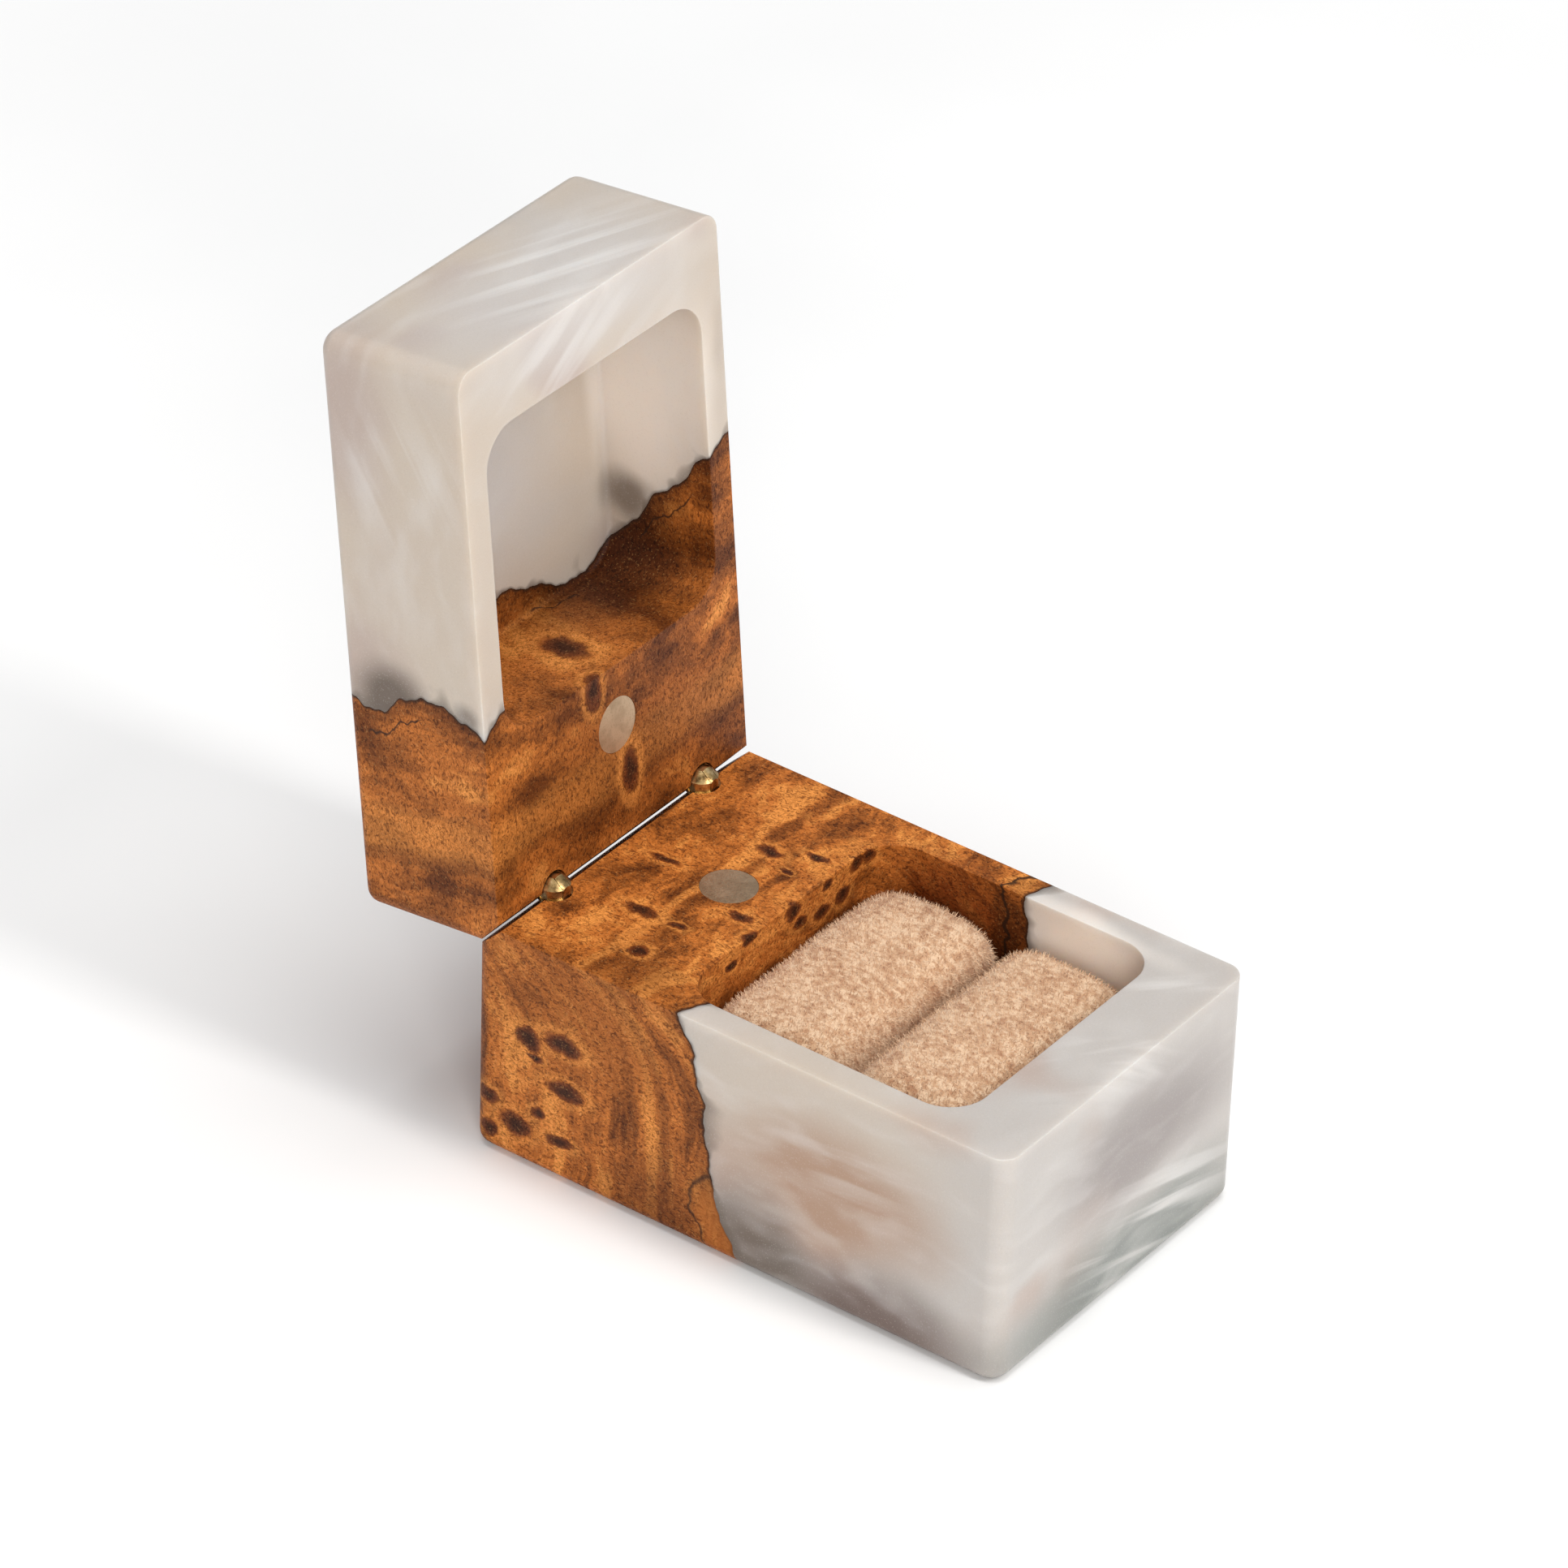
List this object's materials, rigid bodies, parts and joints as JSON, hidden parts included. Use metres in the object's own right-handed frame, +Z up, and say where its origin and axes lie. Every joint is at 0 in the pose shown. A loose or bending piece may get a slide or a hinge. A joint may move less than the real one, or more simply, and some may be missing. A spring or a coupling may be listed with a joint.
{
  "type": "ring box",
  "caption": "Hinged ring box in burl wood and pearl resin, open, with a milled pocket in each half and plush rolls that grip one ring.",
  "frame": {"origin": "centre of the base's flat underside", "axes": "+Z up, front towards -Y, hinges along +Y, X along the hinge line"},
  "size_m": [0.0412, 0.0852, 0.0891],
  "materials": {
    "burl_wood": "satin oiled burl with dark eyes",
    "pearl_resin": "cast pearlescent white resin, satin polish",
    "nickel": "nickel plated",
    "brass": "turned brass, lightly worn",
    "plush": "short pile plush, mottled beige",
    "foam": "soft foam core"
  },
  "bodies": {
    "base": {"base_wood": "burl_wood", "base_resin": "pearl_resin", "base_magnet": "nickel", "hinge_left_base_half": "brass", "hinge_left_pin": "brass", "hinge_right_base_half": "brass", "hinge_right_pin": "brass", "roll_rear_foam": "foam", "roll_rear_plush": "plush", "roll_front_foam": "foam", "roll_front_plush": "plush"},
    "lid": {"lid_wood": "burl_wood", "lid_resin": "pearl_resin", "lid_magnet": "nickel", "hinge_left_lid_half": "brass", "hinge_right_lid_half": "brass"}
  },
  "joints": [
    {"name": "lid_hinge", "type": "hinge", "parent": "base", "child": "lid", "pos_m": [0, 0.0295, 0.0274], "axis": [1, 0, 0], "range_deg": [0, 95.5]}
  ]
}
